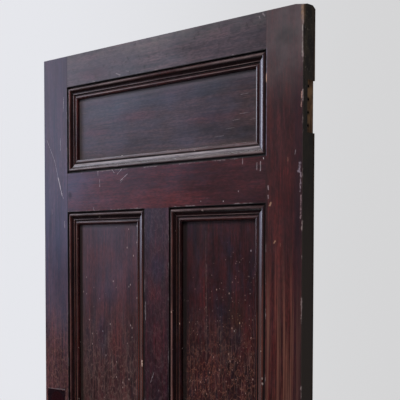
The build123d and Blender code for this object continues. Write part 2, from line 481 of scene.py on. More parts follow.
# %% Group: in_from_edge
given, result = new_group("in_from_edge", ("Distance", "Mitre", "From Left", "From Top"),
                          Place=ORIGIN, Left=0.0, Right=1.0, Bottom=0.0, Top=1.0)
x, y, z = parts_of(given["Place"])
from_left, from_top = less(x, given["Left"]), less(given["Top"], z)
across = calc("MINIMUM", from_left, less(given["Right"], x))
upright = calc("MINIMUM", less(z, given["Bottom"]), from_top)
feed(result["Distance"], calc("MINIMUM", across, upright))
feed(result["Mitre"], soft_step(apart(across, upright), 0.0011, 0.0003))
feed(result["From Left"], from_left)
feed(result["From Top"], from_top)
print("group", nodes_made())

# %% [markdown]
# ## How a finish is built up
#
# A finisher works in coats, and the materials here are made the same way: start with the aged
# varnish on a board, lay on what happened to it afterwards, and put it on the pieces. The grain runs
# along the board's own length, so the coordinates are turned before they reach the grain, and each
# board gets its own shift so that no two show the same figure. A fine mottling breaks up the bloom
# and its painted sheen.

# %% Start, lay and put on a finish
UPRIGHT, ALONG_X = (0.0, 0.0, 0.0), (0.0, math.radians(90.0), 0.0)
SHIFT = (0.37, 0.61, 0.23)
BUMP_STRENGTH = 0.35
VARNISH_IOR, POLISH_IOR = 1.42, 1.7


def start_finish(name, grain_turn, shift, low=1.2, high=2.0, drift=0.5, bloom=0.5, mottled=0.022, **recipe):
    """A new material with the aged varnish on it, as a small bundle of sockets still to be changed."""
    material = bpy.data.materials.new(name)
    material.use_nodes = True
    start_tree(material.node_tree)
    point = place("TexCoord").outputs["Object"]
    turned = place("Mapping")
    feed_all(turned, Vector=point, Rotation=grain_turn, Location=[part * shift for part in SHIFT])
    grain = turned.outputs[0]
    # the blue-grey fall, partly bloom and partly painted sheen
    bloom_and_sheen_fall = use("varnish_bloom", Place=point, Vector=grain, Low=low, High=high, Drift=drift)["Bloom"]
    mottling = spread(noise(grain, 60.0, 5.0, 0.68, 0.45), 0.4, 0.66, -0.4 * mottled, mottled)
    clouded = calc("MULTIPLY_ADD", bloom_and_sheen_fall, bloom, mottling, clamp=True)
    base = use("aged_finish", Vector=grain, Bloom=clouded, **recipe)
    return SimpleNamespace(material=material, point=point, grain=grain, xyz=tuple(parts_of(point)),
                           base=base["Color"].node, colour=base["Color"], roughness=base["Roughness"],
                           height=base["Height"])


def lay(finish, mask, colour, share=1.0, roughness=None, depth=0.0):
    """The colour over what is there, where the mask is 1, with its own roughness and its depth in metres."""
    strength = mask if share == 1.0 else product(mask, share)
    finish.colour = mixed(strength, finish.colour, colour)
    if roughness is not None:
        step = less(roughness, finish.roughness)
        finish.roughness = calc("MULTIPLY_ADD", step, strength, finish.roughness)
    if depth:
        finish.height = calc("MULTIPLY_ADD", strength, -depth, finish.height)


def stain(finish, mask, factors):
    """What is there multiplied by three factors, where the mask is 1."""
    finish.colour = mixed(mask, finish.colour, (*factors, 1.0), "MULTIPLY")


def patches(finish, rows):
    """Broad stains, each a ragged ellipse: centre (across, up), half width, half height and three factors."""
    x, y, z = finish.xyz
    ragged = calc("MULTIPLY_ADD", noise(finish.grain, 34.0, 4.0, 0.65), 1.1, -0.55)
    for across, up, half_wide, half_high, factors in rows:
        distance = length_of(product(less(x, across), 1.0 / half_wide), product(less(z, up), 1.0 / half_high))
        stain(finish, soft_step(calc("ADD", distance, ragged), 1.45, 0.35), factors)


def put_on(finish, nodes, ior=VARNISH_IOR):
    """The shader at the end of the tree, lit through its own bump, and the finish on all of those pieces."""
    bump = place("Bump")
    feed_all(bump, Strength=BUMP_STRENGTH, Height=finish.height, Distance=1.0)
    shader = place("BsdfPrincipled")
    feed_all(shader, Base_Color=finish.colour, Roughness=finish.roughness, IOR=ior,
             Normal=bump.outputs["Normal"])
    feed_all(place("OutputMaterial"), Surface=shader.outputs[0])
    for node in nodes:
        for slot in frame["nodes"][node].material_slots:
            slot.material = finish.material
    print("finish", finish.material.name, "has", len(bench.tree.nodes), "nodes")


# %% [markdown]
# ## Marks on the framing
#
# Handling leaves marks that a viewer remembers: the long scratch down the lock stile, nicks on the
# frieze rail, chips at the corners of the openings. Each is one line from a start to an end on the
# front face, in metres across and up the door, with its width. The hairline between a stile and a
# rail's shoulder shows too, because the varnish has broken over the joint. Round an opening the arris
# is pale in places, partly rubbed and partly a painted highlight where it catches the light, and right
# at its edge lies a thin black line of painted shade.

# %% Scratches, joints and arrises
PALE, BARE_WOOD = tint(176, 166, 172), tint(150, 112, 88)
# the second colour is painted shade at an opening's edge, the third a rub partly painted as highlight
JOINT_SHADOW, EDGE_SHADE, EDGE_RUB_AND_HIGHLIGHT = tint(20, 12, 13), tint(8, 3, 3), tint(146, 132, 136)
SCRATCHED_ROUGHNESS, JOINT_ROUGHNESS, SHADE_ROUGHNESS = 0.6, 0.7, 0.8
SCRATCH_DEPTH, JOINT_DEPTH = 0.0002, 0.0003
JOINT_WIDTH, OPENED_JOINT, CLOSED_JOINT = 0.0012, 0.75, 0.25
RUB_AND_HIGHLIGHT_REACH, SHADE_REACH = 0.0032, 0.0016


def scratches(finish, rows, colour=PALE, skip=0.4, level=FRONT_Y):
    """Scratches on the front face or at another level of y. A row is across and up at the start, the same
    at the end, the width, the share, and a colour where it isn't the others' colour."""
    for across, up, end_across, end_up, width, share, *own in rows:
        mask = use("scratch", Place=finish.point, Start=(across, level, up), End=(end_across, level, end_up),
                   Width=width, Skip=skip)["Mask"]
        lay(finish, mask, own[0] if own else colour, share, SCRATCHED_ROUGHNESS, SCRATCH_DEPTH)


def joint_line(finish, value, line, share, width=JOINT_WIDTH):
    """A hairline of shadow where the value passes the line."""
    lay(finish, soft_step(apart(value, line), width, width * 0.3), JOINT_SHADOW, share, JOINT_ROUGHNESS,
        JOINT_DEPTH)


def wear_along(finish, gap, reach, amount, colour, share):
    """Wear where the gap to an edge is small: broken lengths of a ragged strip, `reach` metres wide."""
    mask = use("worn_arris", Place=finish.point, Distance=gap, Reach=reach, Amount=amount)["Mask"]
    lay(finish, mask, colour, share, SCRATCHED_ROUGHNESS)


def rim_of(finish, panel):
    """How far a point lies inside the opening of that panel."""
    edge = openings[panel]
    return use("in_from_edge", Place=finish.point, Left=edge.left, Right=edge.right,
               Bottom=edge.bottom, Top=edge.top)


def shoulders(finish):
    """The joint lines between stiles and rails: the lock side's has opened, the hinge side's hardly."""
    joint_line(finish, finish.xyz[0], -SHOULDER_X, OPENED_JOINT)
    joint_line(finish, finish.xyz[0], SHOULDER_X, CLOSED_JOINT)


def opening_arrises(finish, panels, amount=0.45, share=0.45):
    """A thin pale line round each of those openings, partly rub and partly painted highlight, and a black one
    of painted shade right at its edge.
    """
    for panel in panels:
        gap = calc("ABSOLUTE", rim_of(finish, panel)["Distance"])
        # pale line on the arris: partly rub, partly painted highlight
        wear_along(finish, gap, RUB_AND_HIGHLIGHT_REACH, amount, EDGE_RUB_AND_HIGHLIGHT, share)
        # painted shade: a black line right at the opening's edge
        lay(finish, soft_step(gap, SHADE_REACH, SHADE_REACH / 2), EDGE_SHADE, 0.88, SHADE_ROUGHNESS)


# %% [markdown]
# ## The lock stile
#
# This is the bluest and most scratched board. A long scratch runs down it beside the frieze panel,
# thin at the top and wide at its end. Near the bottom of the photograph a plate has been taken off:
# its place is darker, with a pale line of old filler along its top edge and a rounder, darker patch
# where a rose or escutcheon sat. What is below that is cut off in the photograph, so the plate's mark
# is simply finished as a rectangle, ragged by a millimetre or two at its edge.

# %% Lock stile
PLATE_LEFT, PLATE_RIGHT, PLATE_TOP, PLATE_BOTTOM = -0.4405, -0.364, 1.131, 0.965
ROSE, ROSE_RADIUS, ROSE_SOFT = Vector((-0.3985, FRONT_Y, 1.099)), 0.0275, 0.002
PLATE_ROUGHNESS = 0.26

finish = start_finish("lock_stile_varnish", UPRIGHT, 1.0, low=1.2, high=1.6, drift=0.05, bloom=0.22,
                      Crazing=0.05, Flaking=0.0, Dark=tint(37, 25, 39), Red=tint(68, 40, 46))
x, y, z = finish.xyz
feed(finish.base.inputs["Crazing"], spread(z, 1.45, 1.2, 0.0, 0.22))
stain(finish, soft_step(z, 1.74, 1.98), (0.58, 0.46, 0.54))
stain(finish, soft_step(z, 1.5, 1.2), (1.25, 1.05, 0.85))
wide = calc("MINIMUM", less(x, PLATE_LEFT), less(PLATE_RIGHT, x))
tall = calc("MINIMUM", less(z, PLATE_BOTTOM), less(PLATE_TOP, z))
ragged = calc("MULTIPLY_ADD", noise(finish.point, 160.0, 3.0, 0.6), 0.005, -0.0025)
plate = soft_step(calc("ADD", calc("MINIMUM", wide, tall), ragged), -0.0006, 0.0006)
on_front = soft_step(y, FRONT_Y + 0.0012, FRONT_Y + 0.0004)
lay(finish, product(plate, on_front), tint(22, 5, 12), 0.97, PLATE_ROUGHNESS)
to_rose = vector_calc("DISTANCE", finish.point, ROSE, output="Value")
rose_mark = soft_step(to_rose, ROSE_RADIUS + ROSE_SOFT, ROSE_RADIUS - ROSE_SOFT)
lay(finish, rose_mark, tint(34, 4, 9), 0.9, PLATE_ROUGHNESS)
scratches(finish, ((-0.4385, 1.1315, -0.364, 1.1345, 0.0032, 0.55),), tint(128, 122, 124), 0.2)
shoulders(finish)
opening_arrises(finish, ("frieze", "upper_left", "lower_left"))
scratches(finish, (
    (-0.438, 1.835, -0.4046, 1.776, 0.0026, 0.5), (-0.4046, 1.776, -0.3885, 1.725, 0.0028, 0.55)))
scratches(finish, ((-0.3885, 1.725, -0.3717, 1.6764, 0.0048, 0.95),), skip=0.1)
scratches(finish, (
    (-0.3717, 1.6764, -0.366, 1.669, 0.003, 0.5), (-0.3623, 1.606, -0.3617, 1.588, 0.0036, 0.6),
    (-0.3785, 1.836, -0.3785, 1.802, 0.003, 0.45), (-0.3629, 1.948, -0.3652, 1.908, 0.0036, 0.45),
    (-0.4165, 1.64, -0.416, 1.627, 0.0028, 0.25)))
scratches(finish, (
    (-0.3905, 2.04, -0.3905, 1.99, 0.0024, 0.55), (-0.37, 2.05, -0.3695, 1.96, 0.0022, 0.55)),
    tint(34, 30, 34), 0.5)
wear_along(finish, less(x, LOCK_X), 0.0022, 0.4, tint(96, 92, 98), 0.4)
put_on(finish, ["lock_stile"])

# %% [markdown]
# ## The hinge stile
#
# The face is the reddest wood of the door, rubbed pale in broken lengths along its outer arris. Its
# edge is another matter: it has been painted nearly black, and the gains cut for the hinges are bare
# wood, brown and orange, stained dark round four screw holes each. Where the gains and holes lie is
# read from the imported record, so the bare wood is always where the cut is.

# %% Gains and screw holes
GAIN_WOOD_DARK, GAIN_WOOD_LIGHT = tint(88, 58, 34), tint(152, 114, 76)
record = frame["record"]
leaf_spaces = [space["box_m"] for space in record["physics"]["openings"]]
screw_rows = {}
for mount in record["mounts"]:
    if mount["kind"] == "bolt_pattern":
        screw_rows.setdefault(mount["name"].split("_")[0], []).append(mount)


def bare_gain(finish, space):
    """Bare wood inside the cut for one hinge leaf, from its box in the record and a millimetre round it."""
    x, y, z = finish.xyz
    low, high = space
    inside = product(within(x, low[0] - 0.001, HINGE_X - 0.0004, 0.0002),
                     within(z, low[2] - 0.0012, high[2] + 0.0012, 0.0003),
                     soft_step(y, low[1] - 0.001, low[1] - 0.0004),
                     soft_step(y, BACK_Y + 0.0001, BACK_Y - 0.0003))
    fibre = calc("ADD", spread(noise(finish.grain, 260.0, 4.0, 0.6, 0.06), 0.35, 0.68, 0.0, 0.8),
                 spread(noise(finish.point, 34.0, 3.0, 0.5), 0.42, 0.66, -0.3, 0.45), clamp=True)
    lay(finish, inside, mixed(fibre, GAIN_WOOD_DARK, GAIN_WOOD_LIGHT), 1.0, 0.75)
    return inside


def screw_stains(finish, inside, row):
    """Dark rounds at the four screw holes: the distance to the nearest centre up and down the gain."""
    x, y, z = finish.xyz
    centre = row[0]["pos_m"]
    away = apart(z, centre[2])
    for mount in row:
        half, hole = mount["dims"]["spacing_y_mm"] / 2000.0, mount["dims"]["hole_r_mm"] / 1000.0
        radius = length_of(apart(away, half), less(y, centre[1]))
        around = product(soft_step(radius, hole * 3.0, hole), inside)
        lay(finish, around, tint(40, 24, 14), 0.75, 0.8)
        bore = product(soft_step(radius, hole + 0.0005, hole - 0.0001),
                       soft_step(x, HINGE_X - 0.004, HINGE_X - 0.0046))
        lay(finish, bore, tint(10, 6, 4), 0.95, 0.9)


print("gains", len(leaf_spaces), "screw patterns", {name: len(row) for name, row in screw_rows.items()})

# %% Hinge stile
finish = start_finish("hinge_stile_varnish", UPRIGHT, 2.0, low=1.72, high=2.08, drift=0.1, bloom=0.12,
                      Crazing=0.0, Flaking=0.0, Dark=tint(42, 13, 15), Red=tint(61, 19, 17),
                      Haze=tint(96, 92, 108))
x, y, z = finish.xyz
dusty = product(soft_step(z, 1.8, 1.98), spread(noise(finish.point, 30.0, 4.0, 0.65), 0.35, 0.65, 0.6, 1.0))
lay(finish, dusty, tint(92, 84, 86), 0.5, 0.55)
shoulders(finish)
opening_arrises(finish, ("frieze", "upper_right", "lower_right"), 0.35, 0.35)
low_streaks = noise(finish.grain, 290.0, 2.0, 0.5, 0.01)
orange = product(soft_step(low_streaks, 0.42, 0.62), soft_step(z, 1.62, 1.28))
lay(finish, orange, tint(108, 72, 60), 0.5)
stain(finish, soft_step(z, 1.6, 1.35), (1.42, 1.42, 1.36))
patches(finish, (
    (0.378, 1.867, 0.015, 0.045, (0.8, 0.84, 0.9)), (0.398, 1.668, 0.02, 0.06, (1.3, 0.88, 0.8)),
    (0.41, 1.995, 0.03, 0.022, (0.76, 0.88, 0.86)), (0.38, 1.96, 0.012, 0.03, (0.84, 0.88, 0.88))))
darker_edge = product(soft_step(x, HINGE_X - 0.03, HINGE_X - 0.016), soft_step(z, 1.98, 1.84))
lay(finish, darker_edge, tint(30, 16, 26), 0.55)
beside_joint = SHOULDER_X + 0.0016
scratches(finish, ((beside_joint, 1.974, beside_joint, 1.736, 0.0034, 0.45),), tint(120, 112, 136), 0.3)

# the painted edge, with brown showing through along the back arris
EDGE_PAINT, PAINT_ROUGHNESS = tint(49, 43, 39), 0.8
worn_paint = product(spread(noise(finish.grain, 75.0, 4.0, 0.65, 0.35), 0.42, 0.66, 0.0, 1.0),
                     spread(z, 1.7, 1.95, 0.35, 1.0))
paint_specks = product(soft_step(noise(finish.point, 330.0, 2.0, 0.5), 0.66, 0.72), soft_step(z, 1.8, 1.95))
paint = mixed(worn_paint, EDGE_PAINT, tint(72, 62, 49))
for mask, colour in ((soft_step(z, 1.75, 1.45), tint(62, 52, 46)), (paint_specks, tint(130, 122, 108)),
                     (soft_step(y, BACK_Y - 0.012, BACK_Y), tint(48, 33, 27))):
    paint = mixed(mask, paint, colour)
on_edge = soft_step(x, HINGE_X - 0.0009, HINGE_X - 0.0003)
lay(finish, on_edge, paint, 1.0, PAINT_ROUGHNESS)
back_gap = less(BACK_Y, y)
back_wear = use("worn_arris", Place=finish.point, Distance=back_gap, Reach=0.0045, Amount=0.55)["Mask"]
lay(finish, product(back_wear, on_edge), tint(96, 76, 54), 0.8, 0.7)
ragged_back = calc("MULTIPLY_ADD", noise(finish.point, 90.0, 4.0, 0.65), 0.01, -0.0015)
back_strip = soft_step(less(back_gap, ragged_back), 0.0006, -0.0006)
lay(finish, product(back_strip, within(z, 1.885, 2.015, 0.012), on_edge), tint(104, 80, 56), 0.75, 0.7)
for space, row in zip(leaf_spaces, screw_rows.values()):
    screw_stains(finish, bare_gain(finish, space), row)

# the front arris, rubbed pale in lengths, with bare wood at the knocked top corner
to_arris = length_of(less(HINGE_X, x), less(y, FRONT_Y))
wear_along(finish, to_arris, 0.0032, 0.42, tint(150, 130, 128), 0.6)
chewed = spread(noise(finish.point, 180.0, 4.0, 0.65), 0.38, 0.58, 0.25, 1.0)
corner = product(soft_step(to_arris, 0.0085, 0.004), soft_step(z, 2.006, 2.034), chewed)
lay(finish, corner, tint(126, 98, 74), 0.9, 0.7)
rubbed_lengths = (
    (1.944, 2.009, 0.004, 0.7, tint(150, 142, 136)), (1.835, 1.866, 0.006, 0.85, tint(160, 122, 112)),
    (1.696, 1.712, 0.012, 0.85, tint(138, 122, 134)), (1.652, 1.692, 0.0075, 0.75, tint(128, 112, 120)),
    (1.594, 1.644, 0.006, 0.75, tint(134, 110, 114)))
scratches(finish, [(HINGE_X - width * 0.8, low, HINGE_X - width * 0.62, high, width, share, colour)
                   for low, high, width, share, colour in rubbed_lengths], skip=0.75)
scratches(finish, (
    (0.36, 1.624, 0.363, 1.63, 0.008, 0.85, BARE_WOOD),
    (0.373, 1.54, 0.3755, 1.544, 0.006, 0.8, BARE_WOOD),
    (0.355, 1.668, 0.356, 1.66, 0.004, 0.55), (0.3554, 1.647, 0.356, 1.64, 0.003, 0.6),
    (0.41, 1.727, 0.4104, 1.72, 0.003, 0.45, BARE_WOOD), (0.431, 1.742, 0.429, 1.733, 0.003, 0.4),
    (0.3905, 1.539, 0.3905, 1.533, 0.0026, 0.4, BARE_WOOD)), skip=0.15)
chip = product(soft_step(apart(x, SHOULDER_X), 0.0026, 0.0012), within(z, 1.9, 1.918, 0.004))
lay(finish, chip, tint(190, 150, 130), 0.85, 0.7)
put_on(finish, ["hinge_stile"])

# %% [markdown]
# ## Rails and muntins
#
# The rails run across, so their grain is turned to lie along X. The top rail is an even grey, partly
# dust and partly painted sheen, and the dust is thickest along its upper edge. The frieze rail carries
# a cluster of short nicks just under the panel, where something hung or leant against it.

# %% Top rail
finish = start_finish("top_rail_varnish", ALONG_X, 3.0, low=1.6, high=2.15, drift=0.55, bloom=0.2,
                      Crazing=0.0, Flaking=0.0, Dark=tint(51, 39, 44), Red=tint(69, 48, 52),
                      Haze=tint(104, 108, 128))
x, y, z = finish.xyz
dusty = product(soft_step(z, DOOR_TOP - 0.05, DOOR_TOP - 0.004),
                spread(noise(finish.point, 30.0, 4.0, 0.65), 0.35, 0.65, 0.2, 1.0))
lay(finish, dusty, tint(104, 100, 98), 0.26, 0.6)
stain(finish, soft_step(x, 0.14, 0.34), (0.78, 0.84, 0.82))
stain(finish, within(x, -0.13, 0.13, 0.12), (1.28, 1.4, 1.32))
patches(finish, (
    (0.3208, 1.966, 0.024, 0.01, (0.7, 0.8, 0.82)), (0.258, 2.03, 0.018, 0.012, (0.66, 0.74, 0.76)),
    (-0.24, 1.995, 0.06, 0.014, (1.25, 0.92, 0.95))))
lay(finish, soft_step(noise(finish.point, 45.0, 4.0, 0.7), 0.56, 0.66), tint(34, 28, 28), 0.45)
shoulders(finish)
opening_arrises(finish, ("frieze",), 0.35, 0.35)
scratches(finish, (
    (0.338, 2.0535, 0.343, 2.047, 0.008, 0.6), (0.328, 2.048, 0.33, 2.043, 0.005, 0.5),
    (-0.148, 1.984, -0.133, 1.978, 0.006, 0.6), (-0.111, 1.986, -0.1, 1.983, 0.0045, 0.5),
    (-0.24, 1.976, -0.233, 1.974, 0.004, 0.5)), tint(138, 128, 132), 0.3)
put_on(finish, ["top_rail"])

# %% Frieze rail
finish = start_finish("frieze_rail_varnish", ALONG_X, 4.0, low=1.55, high=2.1, drift=0.75, bloom=0.22,
                      Crazing=0.0, Flaking=0.0, Dark=tint(52, 18, 24), Red=tint(66, 23, 27))
x, y, z = finish.xyz
shoulders(finish)
stain(finish, soft_step(x, 0.08, 0.34), (0.71, 0.77, 0.74))
stain(finish, within(x, -0.12, 0.14, 0.08), (1.3, 1.12, 1.0))
patches(finish, (
    (-0.337, 1.676, 0.0085, 0.01, (0.35, 0.4, 0.5)), (-0.295, 1.702, 0.056, 0.026, (1.05, 1.15, 1.2)),
    (0.1, 1.69, 0.12, 0.02, (0.9, 1.05, 1.08))))
opening_arrises(finish, ("frieze", "upper_left", "upper_right"), 0.75, 0.55)
scratches(finish, (
    (-0.1329, 1.7061, -0.1066, 1.7214, 0.0026, 0.95), (-0.1329, 1.7001, -0.1226, 1.7095, 0.0018, 0.5),
    (-0.1653, 1.7368, -0.1564, 1.7273, 0.0024, 0.75), (-0.1446, 1.7236, -0.1269, 1.7364, 0.0022, 0.75),
    (-0.214, 1.713, -0.2141, 1.6942, 0.0026, 0.55), (-0.2216, 1.7352, -0.221, 1.725, 0.003, 0.5),
    (-0.2392, 1.64, -0.239, 1.634, 0.0032, 0.55),
    (0.3415, 1.7318, 0.342, 1.73, 0.0036, 0.95, tint(210, 205, 205)),
    (0.333, 1.724, 0.3332, 1.704, 0.0046, 0.5), (0.323, 1.722, 0.3225, 1.706, 0.003, 0.42),
    (0.2804, 1.7354, 0.2806, 1.7217, 0.0042, 0.5), (0.2682, 1.6612, 0.2684, 1.659, 0.0032, 0.8),
    (0.2225, 1.639, 0.2226, 1.638, 0.0036, 0.9), (0.1511, 1.642, 0.1512, 1.641, 0.003, 0.75),
    (0.171, 1.6485, 0.1711, 1.6475, 0.002, 0.45)), skip=0.3)
put_on(finish, ["frieze_rail"])

# %% Lock rail, bottom rail and muntins
LOWER, TALL = ("lower_left", "lower_right"), ("upper_left", "upper_right", "lower_left", "lower_right")
for number, (rail, panels) in enumerate((("lock_rail", TALL), ("bottom_rail", LOWER))):
    finish = start_finish(f"{rail}_varnish", ALONG_X, 5.0 + number, bloom=0.0, Crazing=0.35, Flaking=0.1)
    shoulders(finish)
    opening_arrises(finish, panels, 0.6, 0.5)
    put_on(finish, [rail])

finish = start_finish("muntin_varnish", UPRIGHT, 7.0, low=1.3, high=1.75, drift=0.1, bloom=0.09,
                      Crazing=0.1, Flaking=0.0, Dark=tint(30, 11, 20), Red=tint(54, 17, 24),
                      Bare=tint(150, 124, 128))
patches(finish, (
    (0.0026, 1.478, 0.026, 0.034, (0.66, 0.84, 1.1)), (-0.002, 1.415, 0.023, 0.02, (1.26, 0.9, 0.88)),
    (0.004, 1.29, 0.024, 0.06, (1.15, 0.92, 0.88))))
opening_arrises(finish, TALL, 0.4, 0.4)
for name in ("upper_muntin", "lower_muntin"):
    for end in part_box(name):
        joint_line(finish, finish.xyz[2], end.z, 0.6, 0.0013)
scratches(finish, (
    (-0.0394, 1.393, -0.0394, 1.347, 0.0026, 0.55), (-0.0216, 1.187, -0.014, 1.204, 0.0026, 0.45),
    (-0.014, 1.204, -0.0088, 1.216, 0.0022, 0.35), (0.008, 1.172, 0.0082, 1.169, 0.0026, 0.4)))
put_on(finish, ["upper_muntin", "lower_muntin"])

# %% [markdown]
# ## The panels
#
# The frieze panel lies across and is hazed like the rail above it, partly bloom and partly painted
# sheen. The tall panels stand upright and are the most weathered part of the door: the varnish is
# whole at the top and torn into little dark islands lower down, and flakes have gone from the
# right-hand one. The two upper tall panels carry a painted shadow of their left-hand moulding, nearly
# black, and every panel but the upper right-hand one a strip of olive dirt along that moulding. Under
# the top moulding the frieze panel and the left-hand one carry a thin band of painted light, which
# lifts the shade that the moulding casts there.

# %% Panels
WEATHER_TOP, WEATHER_FULL = 1.42, 1.2
STAINED, OPENED, FLAKED_SLANT = (1.42, 1.26), (1.44, 1.24), (1.44, 1.26)  # heights: none, and in full
OLIVE_REACH = (0.034, 0.0)
panel_recipes = {
    "frieze": dict(grain_turn=ALONG_X, low=1.6, high=2.05, drift=0.35, bloom=0.17, Crazing=0.0, Flaking=0.0,
                   Dark=tint(43, 34, 37), Red=tint(61, 41, 42), Haze=tint(107, 114, 150)),
    "upper_left": dict(grain_turn=UPRIGHT, low=1.2, high=1.7, drift=0.3, bloom=0.155,
                       Dark=tint(48, 27, 29), Red=tint(71, 33, 33), Bare=tint(150, 122, 114),
                       Haze=tint(112, 114, 146)),
    "upper_right": dict(grain_turn=UPRIGHT, low=1.5, high=1.9, drift=0.3, bloom=0.05,
                        Dark=tint(32, 12, 17), Red=tint(55, 16, 17), Bare=tint(146, 100, 84)),
    "lower_left": dict(grain_turn=UPRIGHT, bloom=0.0), "lower_right": dict(grain_turn=UPRIGHT, bloom=0.0),
}
CRAZED_MOST = {"upper_left": 0.29, "upper_right": 0.43, "lower_left": 0.45, "lower_right": 0.5}
FLAKED_MOST = {"upper_left": 0.1, "upper_right": 1.9, "lower_left": 0.2, "lower_right": 0.5}
LOW_STAIN = {"upper_right": (0.76, 0.66, 0.62)}
LIT_UNDER_TOP = {"frieze": 0.24, "upper_left": 0.14}
LIGHT_UNDER_TOP = ((0.0, 0.0), (0.0025, 0.8), (0.005, 1.0), (0.01, 0.45), (0.018, 0.0))
OLIVE, UNDER_TOP_LIGHT = tint(66, 58, 48), tint(136, 126, 132)
NAVY, RED, GREY = (0.66, 0.86, 1.1), (1.28, 0.92, 0.88), (0.96, 1.12, 1.08)
panel_patches = {
    "frieze": (
        (-0.087, 1.915, 0.09, 0.021, GREY), (-0.215, 1.894, 0.08, 0.018, GREY),
        (0.167, 1.91, 0.07, 0.018, GREY),
        (-0.087, 1.868, 0.075, 0.012, (1.3, 0.94, 0.96)), (0.188, 1.84, 0.095, 0.012, (1.22, 0.94, 0.96)),
        (-0.243, 1.842, 0.054, 0.011, (1.28, 0.92, 0.94)), (0.24, 1.793, 0.08, 0.016, (0.66, 0.76, 0.84))),
    "upper_left": (
        (-0.222, 1.289, 0.02, 0.055, NAVY), (-0.165, 1.286, 0.022, 0.046, RED),
        (-0.226, 1.51, 0.055, 0.03, (1.2, 0.96, 0.9)), (-0.2, 1.4, 0.04, 0.03, (0.86, 0.96, 1.1))),
    "upper_right": (
        (0.113, 1.571, 0.019, 0.04, NAVY), (0.218, 1.539, 0.02, 0.04, NAVY),
        (0.198, 1.384, 0.026, 0.024, NAVY), (0.297, 1.508, 0.013, 0.052, NAVY),
        (0.251, 1.313, 0.018, 0.028, NAVY), (0.148, 1.464, 0.016, 0.06, RED),
        (0.127, 1.406, 0.022, 0.026, RED), (0.234, 1.563, 0.02, 0.032, RED),
        (0.16, 1.23, 0.03, 0.05, (1.12, 0.95, 0.92)), (0.251, 1.374, 0.03, 0.036, (0.9, 0.95, 0.62))),
}
TALL_SCRATCHES = (
    (0.154, 1.57, 0.1535, 1.44, 0.0022, 0.4), (0.1565, 1.49, 0.156, 1.26, 0.0024, 0.45),
    (0.203, 1.33, 0.2026, 1.23, 0.0024, 0.5), (0.248, 1.342, 0.25, 1.29, 0.002, 0.45))
FRIEZE_STROKES = ((0.262, 1.884, 0.022), (0.258, 1.84, 0.03), (0.217, 1.809, 0.026),
                  (0.292, 1.824, 0.018), (0.238, 1.827, 0.022), (0.18, 1.793, 0.03))
panel_scratches = {  # rows, colour and skip
    "upper_right": (TALL_SCRATCHES, tint(120, 92, 84), 0.6),
    "frieze": ([(across, up, across + length, up + 0.001, 0.0022, 0.35)
                for across, up, length in FRIEZE_STROKES], tint(150, 140, 146), 0.5),
}

for number, panel in enumerate(OPENINGS):
    finish = start_finish(f"{panel}_panel_varnish", shift=8.0 + number, mottled=0.03, **panel_recipes[panel])
    x, y, z = finish.xyz
    if panel in CRAZED_MOST:
        stain(finish, soft_step(z, *STAINED), LOW_STAIN.get(panel, (0.8, 0.76, 0.76)))
        weather = soft_step(z, WEATHER_TOP, WEATHER_FULL)
        feed(finish.base.inputs["Crazing"], spread(weather, 0.0, 1.0, 0.0, CRAZED_MOST[panel]))
        slanting = calc("MULTIPLY_ADD", x, -0.6, z)
        flaked = soft_step(slanting, *FLAKED_SLANT) if panel == "upper_right" else weather
        feed(finish.base.inputs["Flaking"], spread(flaked, 0.0, 1.0, 0.05, FLAKED_MOST[panel]))
        opened = soft_step(noise(finish.grain, 420.0, 2.0, 0.55, 0.035), 0.54, 0.66)
        lay(finish, product(opened, soft_step(z, *OPENED)), tint(128, 96, 88), 0.27, 0.55)
    patches(finish, panel_patches.get(panel, ()))
    rim = rim_of(finish, panel)
    gap, beside = less(rim["Distance"], MOULDING_WIDTH), less(rim["From Left"], MOULDING_WIDTH)
    uneven = spread(noise(finish.point, 40.0, 3.0, 0.6), 0.35, 0.65, 0.5, 1.0)
    if panel == "upper_right":
        # painted shadow of the left-hand moulding, nearly black
        lay(finish, soft_step(beside, 0.0155, 0.0105), tint(12, 7, 7), 0.85, 0.6)
    elif panel == "upper_left":
        lay(finish, soft_step(beside, *OLIVE_REACH), OLIVE, 0.3, 0.65)
        # painted shadow of the left-hand moulding, beside the olive dirt
        lay(finish, soft_step(beside, 0.012, 0.0075), tint(22, 13, 9), 0.8, 0.6)
    else:
        lay(finish, product(soft_step(beside, *OLIVE_REACH), uneven), OLIVE, 0.45, 0.65)
        lay(finish, product(soft_step(gap, 0.012, 0.0), uneven), tint(62, 54, 46), 0.4, 0.7)
    if panel in LIT_UNDER_TOP:
        below = less(rim["From Top"], MOULDING_WIDTH)
        # painted light just under the top moulding's shade
        lay(finish, ramp(below, LIGHT_UNDER_TOP), UNDER_TOP_LIGHT, LIT_UNDER_TOP[panel], 0.6)
    # painted shade at the panel's edge along the moulding
    lay(finish, soft_step(gap, SHADE_REACH, SHADE_REACH / 4), JOINT_SHADOW, 0.85, SHADE_ROUGHNESS)
    if panel in panel_scratches:
        scratches(finish, *panel_scratches[panel], PANEL_Y)
    put_on(finish, [f"{panel}_panel"])

# %% [markdown]
# ## The mouldings
#
# Each moulding is rounded outside, hollow in the middle and has a small bead inside. Its two narrow
# quirks are painted black, and its hollow darker, as shade, while its round, its fillet and its bead
# are kept lighter by a hand's rub and by a painted highlight. Soft steps over the distance in from the
# opening's edge say which is which, once for all forty pieces.

# %% Group: moulding_tone
QUIRK_WIDTH, ROUND_AT, HOLLOW_AT = 0.004, 0.0087, 0.0168
FILLET_AT, INNER_QUIRK_AT, BEAD_AT = 0.0214, 0.0244, 0.0296
QUIRK_SOFT, ROUND_HALF, FILLET_HALF, BEAD_HALF = 0.0014, 0.0038, 0.0009, 0.0018
given, result = new_group("moulding_tone", ("Dirt", "Rubbed", "Hollow"), Distance=0.0)
